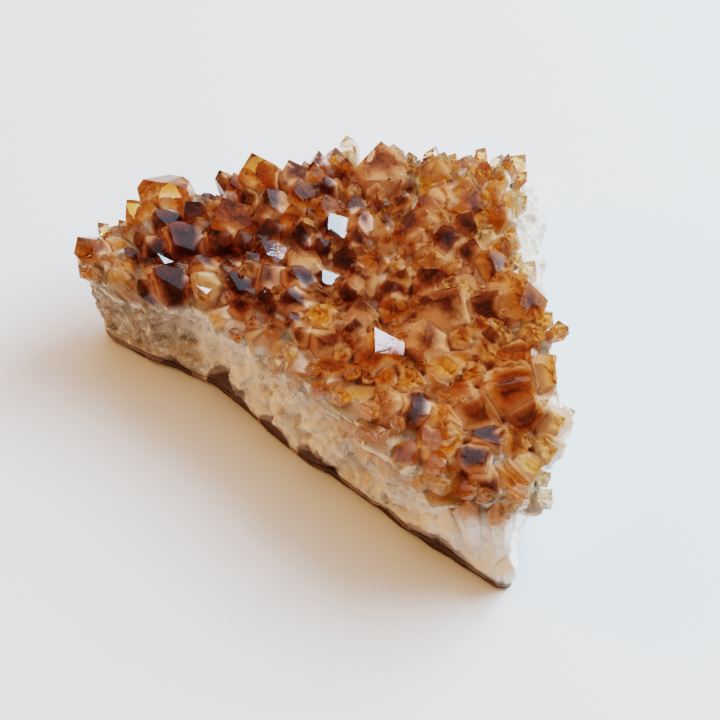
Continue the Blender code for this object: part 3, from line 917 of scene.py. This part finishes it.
def basalt_material(q, b):
    """Dark basalt below a purple-grey band of agate."""
    material, tree, shader = new_material("basalt")
    place = object_place(tree)
    grit = noise_at(tree, place, 0.8 * MM, detail=5, roughness=0.7)
    rind = rind_over(tree, quartz_colours(tree, q)["Colour"], b)
    plug(tree, shader.inputs, {"Base Color": rind["Colour"], "Roughness": 0.75})
    bumped(tree, shader, grit, 0.7, 0.5 * MM)
    return material


# ---- pieces


def shared(name, make):
    return bpy.data.node_groups.get(name) or make()


def shared_colours():
    return shared("citrine colour", crystal_colour_group)


def basalt_top(place):
    """Height of the basalt's own top at this place, in millimetres, wandering away from the front."""
    x, y, _ = place / MM - BED_ORIGIN
    loose = max(0.0, 2.2 + 2.6 * noise.noise(place / (14 * MM)) + 1.5 * noise.noise(place / (5 * MM)))
    if y > -22:
        return loose
    for (x0, top0), (x1, top1) in zip(BASALT_TOPS, BASALT_TOPS[1:]):
        if x0 <= x < x1:
            return top0 + (top1 - top0) * (x - x0) / (x1 - x0)
    return 0.5 * loose if x < 0 else 1.0


def column_share(place):
    """1 on a milky column, falling to 0 beside it."""
    share = 0.0
    for foot, tip, width in MILKY_COLUMNS:
        foot, tip = bed(*foot), bed(*tip)
        along = unit((place - foot).dot(tip - foot) / (tip - foot).length_squared)
        far = (place - foot.lerp(tip, along)).length
        share = max(share, unit(1 - (far - width * MM) / (2 * MM)))
    return share


def surface_of(name):
    """The surface of a dressed piece, for the nearest place on it."""
    mesh = bpy.data.objects[name].data
    corners = [vert.co for vert in mesh.vertices]
    return BVHTree.FromPolygons(corners, [tuple(face.vertices) for face in mesh.polygons])


def write_over_basalt(mesh):
    heights = [vert.co.z / MM - basalt_top(vert.co) for vert in mesh.vertices]
    write_values(mesh, "over_basalt", "POINT", heights)


class MakeCrystals(bpy.types.Operator):
    """Dresses the bed of citrine crystals, with the milky quartz that reaches up into them."""

    bl_idname = "citrine.make_crystals"
    bl_label = "Crystals"

    def execute(self, context):
        s = context.scene.citrine_settings
        bm = cad_copy("citrine_crystals")
        bmesh.ops.dissolve_limit(bm, angle_limit=FLAT, verts=bm.verts, edges=bm.edges)
        bm.normal_update()
        valleys, rim = line_tree(bm, is_valley), line_tree(bm, is_rim)
        bm = united(bm, small_crystals(bm, random.Random(SEEDS["small crystals"])))
        bmesh.ops.remove_doubles(bm, verts=bm.verts, dist=MERGE)
        bmesh.ops.dissolve_limit(bm, angle_limit=FLAT_UNION, verts=bm.verts, edges=bm.edges)
        drop_loose(bm)
        crystals = read_crystals(bm, valleys)
        tones = random.Random(SEEDS["facets"])
        facet = bm.faces.layers.float.new("facet_tone")
        for face in bm.faces:
            face[facet] = tones.uniform(-1, 1)
        cores = bm.copy()
        self.make_skin(bm, crystals, (valleys, rim), s)
        self.make_cores(cores, crystals, (valleys, rim), context.scene)
        return {"FINISHED"}

    def make_skin(self, bm, crystals, lines, s):
        ridges = [edge for edge in bm.edges if edge.calc_face_angle_signed(0) > SHARP_EDGE]
        worn_and_highlit = bm.faces.layers.float.new("worn_and_highlit")
        made = bmesh.ops.bevel(
            bm, geom=ridges, offset=s.bevel, affect="EDGES", segments=2, profile=0.5, material=-1,
            clamp_overlap=True,
        )
        # the bevel's faces carry worn roughness and a painted edge highlight
        for face in made["faces"]:
            face[worn_and_highlit] = 1.0
        bmesh.ops.remove_doubles(bm, verts=bm.verts, dist=MERGE)
        own, rises, rims = self.divide(bm, crystals, lines, s.skin_grain)
        materials = [citrine_material(s, shared_colours())]
        piece = make_piece("citrine_crystals_clear", bm, materials, "citrine_crystals")
        write_natures(piece.data, own, rises, rims)

    def divide(self, bm, crystals, lines, grain):
        """Divides the facets finely. Gives each new face's crystal, and each new corner's height over the
        valleys and nearness to the rim."""
        valleys, rim = lines
        kept = bm.faces.layers.int["crystal"]
        bmesh.ops.triangulate(bm, faces=bm.faces[:])
        split_long_edges(bm, lambda face: grain, lambda face: face.normal.z > -0.9)
        drop_crumbs(bm)
        own = [crystals[face[kept]] for face in bm.faces]
        rises, rims = [], []
        for vert in bm.verts:
            one = max((crystals[face[kept]] for face in vert.link_faces), key=lambda crystal: crystal.reach)
            from_rim = rim.find(vert.co)[2]
            if one.column:
                foot, tip = one.column
                rise = (vert.co - foot).dot(tip - foot) / (tip - foot).length_squared
                rises.append(unit(rise))
                rims.append(unit(1.25 - 1.1 * rise))
            else:
                rises.append(min(1.0, valleys.find(vert.co)[2] / one.reach))
                rims.append(max(0.0, 1 - from_rim / (RIM_WIDTH * MM)))
        return own, rises, rims

    def make_cores(self, bm, crystals, lines, scene):
        s = scene.citrine_settings
        own, rises, rims = self.divide(bm, crystals, lines, s.core_grain)
        kept = bm.faces.layers.int["crystal"]
        surface = BVHTree.FromBMesh(bm)
        places = []
        for vert, rise, near in zip(bm.verts, rises, rims):
            one = crystals[max(face[kept] for face in vert.link_faces)]
            frost = one.nature[2]
            clear = (1 - frost) * 0.5 + 0.2
            wander = 0.2 * rough(vert.co, 2.2 * MM) + 0.1 * rough(vert.co, 0.9 * MM, 4)
            height = rise + wander
            sunk = unit((height - 0.1 - 0.2 * frost) / 0.6)
            sunk = sunk * sunk * (3 - 2 * sunk)
            place = one.foot + (vert.co - one.foot) * (1 - sunk * (0.2 + 0.45 * clear))
            depth = 0.16 + 0.1 * rough(vert.co, 1.5 * MM, 8) + 0.35 * sunk + 0.5 * max(0.0, rise - 0.1)
            lump = 0.55 + rough(vert.co, 3 * MM, 6) + 0.4 * rough(vert.co, 1.2 * MM, 2)
            depth -= 1.1 * max(0.0, near - 0.35) * max(0.0, lump) * (not one.column)
            place -= vert.normal * (depth * MM)
            if depth > 0:
                start = vert.co - vert.normal * (0.02 * MM)
                way = place - start
                wall = surface.ray_cast(start, way.normalized(), way.length)[3]
                if wall is not None:
                    place = start + way.normalized() * (0.7 * wall)
            places.append(place)
        for vert, place in zip(bm.verts, places):
            vert.co = place
        materials = [milk_material(s, scene.quartz_settings, shared_colours())]
        piece = make_piece("frosted_crystal_cores", bm, materials, None)
        write_natures(piece.data, own, rises, rims)
        piece.data.shade_smooth()


class MakeQuartz(bpy.types.Operator):
    """Dresses the broken sides of the milky quartz."""

    bl_idname = "citrine.make_quartz"
    bl_label = "Milky quartz"

    def execute(self, context):
        q = context.scene.quartz_settings
        noise.seed_set(SEEDS["fracture"])  # otherwise each run breaks the quartz in other places
        columns = bmesh.new()
        rng = random.Random(SEEDS["columns"])
        for foot, tip, width in MILKY_COLUMNS:
            column(columns, foot, tip, width, rng)
        bm = united(cad_copy("quartz_matrix"), columns)
        bmesh.ops.remove_doubles(bm, verts=bm.verts, dist=MERGE)
        bm.normal_update()
        split_long_edges(
            bm,
            lambda face: q.grain,
            lambda face: abs(face.normal.z) < 0.7 and face.calc_center_median().z > 1.5 * MM,
        )
        bm.normal_update()
        for vert in bm.verts:
            if abs(vert.normal.z) < 0.8:
                co = vert.co
                big = rough(co, 9 * MM) + 0.5 * rough(co, 4 * MM, 3) + 0.3 * rough(co, 1.8 * MM, 5)
                big += 0.9 * broken(co, 9 * MM) + 0.45 * broken(co, 4 * MM, 2) - 0.1
                fade = unit((vert.co.z - 4 * MM) / (4 * MM))
                fade *= 1 - 0.75 * column_share(vert.co)
                vert.co += vert.normal * (q.relief * big * fade)
                top = unit((vert.co.z - 23 * MM) / (4 * MM))
                vert.co.z += top * max(0.0, 0.5 + rough(vert.co, 3.5 * MM, 9)) * 1.1 * MM
        materials = [quartz_material(q, context.scene.basalt_settings)]
        piece = make_piece("milky_quartz_matrix", bm, materials, "quartz_matrix")
        write_over_basalt(piece.data)
        shares = [column_share(vert.co) for vert in piece.data.vertices]
        write_values(piece.data, "milky_column", "POINT", shares)
        piece.data.shade_smooth()
        return {"FINISHED"}


class MakeBasalt(bpy.types.Operator):
    """Dresses the basalt skin and its agate band."""

    bl_idname = "citrine.make_basalt"
    bl_label = "Basalt skin"

    def execute(self, context):
        b = context.scene.basalt_settings
        bm = cad_copy("basalt_rind")
        bm.normal_update()
        split_long_edges(bm, lambda face: b.grain, lambda face: abs(face.normal.z) < 0.9)
        bm.normal_update()
        quartz = surface_of("milky_quartz_matrix")
        for vert in bm.verts:
            side = 1 - abs(vert.normal.z)
            if side < 0.2:
                continue
            lump = 0.5 + 0.6 * rough(vert.co, 3 * MM) + 0.4 * rough(vert.co, 1.2 * MM)
            under = unit((basalt_top(vert.co) + 0.6 - vert.co.z / MM) / 0.8)
            near, _, _, far = quartz.find_nearest(vert.co)
            if vert.co.z > 1.2 * MM and far < 2.5 * MM:
                vert.co.xy = vert.co.xy.lerp(near.xy, 1 - 0.4 * under)
            vert.co += vert.normal * (side * (0.35 * MM * under * max(0.0, lump) - 0.05 * MM))
            vert.co.z = max(vert.co.z, 0.0)
        materials = [basalt_material(context.scene.quartz_settings, b)]
        piece = make_piece("basalt_skin", bm, materials, "basalt_rind")
        write_over_basalt(piece.data)
        piece.data.shade_smooth()
        return {"FINISHED"}


def area_light(name, place, target, size, power, colour):
    lamp = bpy.data.lights.new(name, "AREA")
    lamp.shape = "RECTANGLE"
    lamp.size, lamp.size_y = size
    lamp.energy = power
    lamp.color = colour
    obj = put(name, lamp)
    obj.location = place
    obj.rotation_euler = (target - place).to_track_quat("-Z", "Y").to_euler()
    return obj


TO_WINDOW = Vector((0.05, 0.805, 0.59))
# Each light: name, way to it from the middle of the bed, distance, size, power and colour.
LIGHTS = (
    ("window", TO_WINDOW, 1.6, (0.30, 0.22), 3.6, (0.60, 0.80, 1.0)),
    ("key", Vector((0.30, 0.70, 0.64)), 1.35, (1.0, 0.8), 31, (0.68, 0.87, 1.0)),
    ("fill", Vector((-0.75, -0.5, 0.55)), 1.7, (1.4, 1.2), 16, (1.0, 0.43, 0.14)),
)


def room_world():
    """Soft light: a wide bright glow round the window, cool on that side, warm and dim away from it."""
    world = bpy.data.worlds.new("room")
    world.use_nodes = True
    tree = world.node_tree
    toward = tree.nodes.new("ShaderNodeTexCoord").outputs["Generated"]
    facing = vectors(tree, "DOT_PRODUCT", toward, tuple(TO_WINDOW))
    back = tree.nodes["Background"]
    tree.links.new(
        mix(tree, spread(tree, facing, 0.0, 0.95), (1.0, 0.55, 0.25), (0.70, 0.86, 1.0)), back.inputs["Color"]
    )
    glow = plus(tree, spread(tree, facing, 0.5, 1.0, 0.0, 0.9), spread(tree, facing, -0.6, 0.6, 0.34, 0.74))
    tree.links.new(glow, back.inputs["Strength"])
    return world


class MakeStage(bpy.types.Operator):
    """Makes the table, the soft window light and the camera."""

    bl_idname = "citrine.make_stage"
    bl_label = "Stage"

    def execute(self, context):
        t = context.scene.stage_settings
        bm = bmesh.new()
        bmesh.ops.create_grid(bm, x_segments=1, y_segments=1, size=6.0)
        mesh = bpy.data.meshes.new("table")
        bm.to_mesh(mesh)
        bm.free()
        table = put("table", mesh)
        material, tree, shader = new_material("table")
        plug(tree, shader.inputs, {"Base Color": t.table, "Roughness": 0.6})
        mesh.materials.append(material)

        context.scene.world = room_world()
        target = bed(12, -4, 20)
        for name, way, distance, size, power, colour in LIGHTS:
            light = area_light(name, target + way * distance, target, size, power, colour)
            light.visible_glossy = name == "window"
        context.scene.view_settings.view_transform = "Filmic"
        context.scene.view_settings.look = "High Contrast"

        camera = put("camera", bpy.data.cameras.new("camera"))
        camera.data.sensor_width = 36
        camera.data.lens = 18 / math.tan(t.view_angle / 2)
        away = Vector(
            (
                math.sin(t.azimuth) * math.cos(t.elevation),
                -math.cos(t.azimuth) * math.cos(t.elevation),
                math.sin(t.elevation),
            )
        )
        camera.location = target + away * t.distance
        camera.rotation_euler = (-away).to_track_quat("-Z", "Y").to_euler()
        camera.data.clip_start = 0.01
        context.scene.camera = camera
        return {"FINISHED"}


class CitrinePanel(bpy.types.Panel):
    """The cluster's pieces, in the sidebar."""

    bl_idname = "VIEW3D_PT_citrine"
    bl_label = "Citrine Cluster"
    bl_space_type = "VIEW_3D"
    bl_region_type = "UI"
    bl_category = "Citrine"

    def draw(self, context):
        for made in PIECES:
            self.layout.operator(made.bl_idname)
        for name, settings in SETTINGS.items():
            box = self.layout.box()
            for key in settings.__annotations__:
                box.prop(getattr(context.scene, name), key)


PIECES = (MakeStage, MakeCrystals, MakeQuartz, MakeBasalt)
SETTINGS = {
    "citrine_settings": CitrineSettings,
    "quartz_settings": QuartzSettings,
    "basalt_settings": BasaltSettings,
    "stage_settings": StageSettings,
}


def register():
    for name, settings in SETTINGS.items():
        bpy.utils.register_class(settings)
        setattr(bpy.types.Scene, name, bpy.props.PointerProperty(type=settings))
    for made in (*PIECES, CitrinePanel):
        bpy.utils.register_class(made)


def unregister():
    for made in (CitrinePanel, *reversed(PIECES)):
        bpy.utils.unregister_class(made)
    for name, settings in SETTINGS.items():
        delattr(bpy.types.Scene, name)
        bpy.utils.unregister_class(settings)


def main():
    register()
    bpy.ops.citrine.make_stage()
    bpy.ops.citrine.make_crystals()
    bpy.ops.citrine.make_quartz()
    bpy.ops.citrine.make_basalt()


if __name__ == "__main__":
    main()
